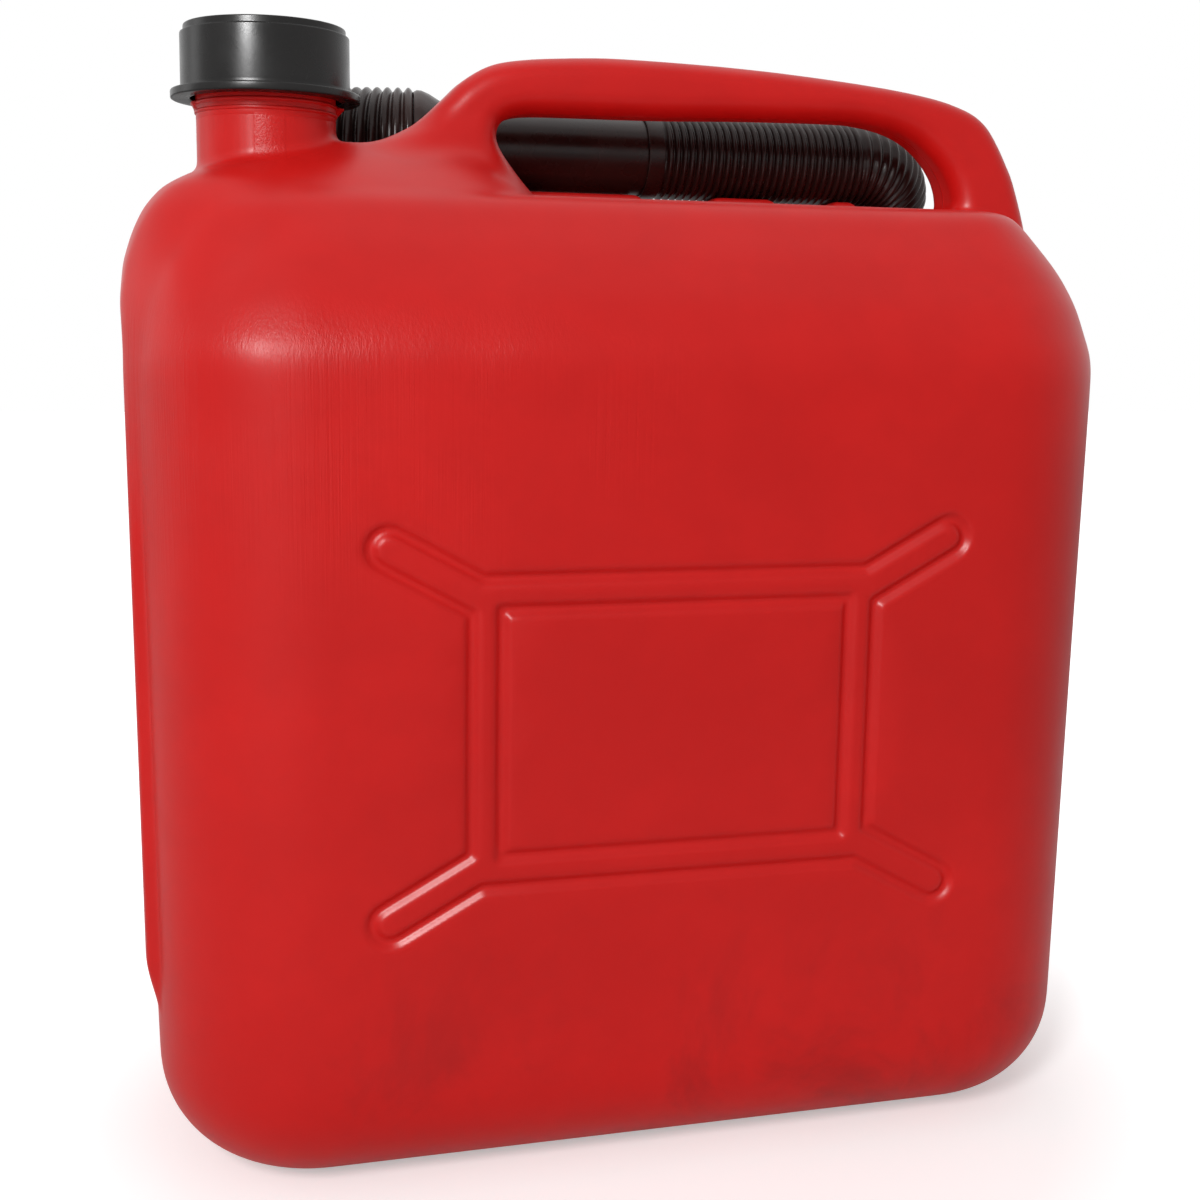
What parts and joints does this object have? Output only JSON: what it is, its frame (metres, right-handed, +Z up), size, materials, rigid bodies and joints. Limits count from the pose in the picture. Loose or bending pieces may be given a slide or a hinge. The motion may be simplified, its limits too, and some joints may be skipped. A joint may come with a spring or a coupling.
{
  "type": "jerry can",
  "caption": "Moulded plastic fuel can with screw neck, hollow carrying handle, and a flexible pouring spout stored on the deck behind the handle.",
  "frame": {"origin": "middle of the base, on the surface it stands on", "axes": "+Z up, +X from the neck end to the handle's rear foot, -Y out of the patterned front face"},
  "size_m": [0.3902, 0.1832, 0.4329],
  "materials": {
    "red_hdpe": "satin",
    "black_plastic": "satin",
    "seal_rubber": "matt"
  },
  "bodies": {
    "can": {"can_body": "red_hdpe"},
    "closure_disc": {"cap_disc": "black_plastic", "cap_gasket": "seal_rubber"},
    "closure_ring": {"cap_ring": "black_plastic"},
    "spout": {"spout_tube": "black_plastic", "spout_collar": "black_plastic", "spout_hose": "black_plastic"}
  },
  "joints": [
    {"name": "cap_lift", "type": "slide", "parent": "can", "child": "closure_disc", "axis": [0, 0, 1], "range_m": [0, 0.0271]},
    {"name": "cap_turn", "type": "hinge", "parent": "closure_disc", "child": "closure_ring", "pos_m": [-0.1396, 0, 0.42], "axis": [0, 0, 1], "range_deg": [0, 2160]},
    {"name": "spout_lift", "type": "slide", "parent": "can", "child": "spout", "axis": [0, 0, 1], "range_m": [0, 0.07]}
  ],
  "couplings": [
    {"joint": "cap_lift", "follows": "cap_turn", "m_per_rad": 0.0007162}
  ]
}
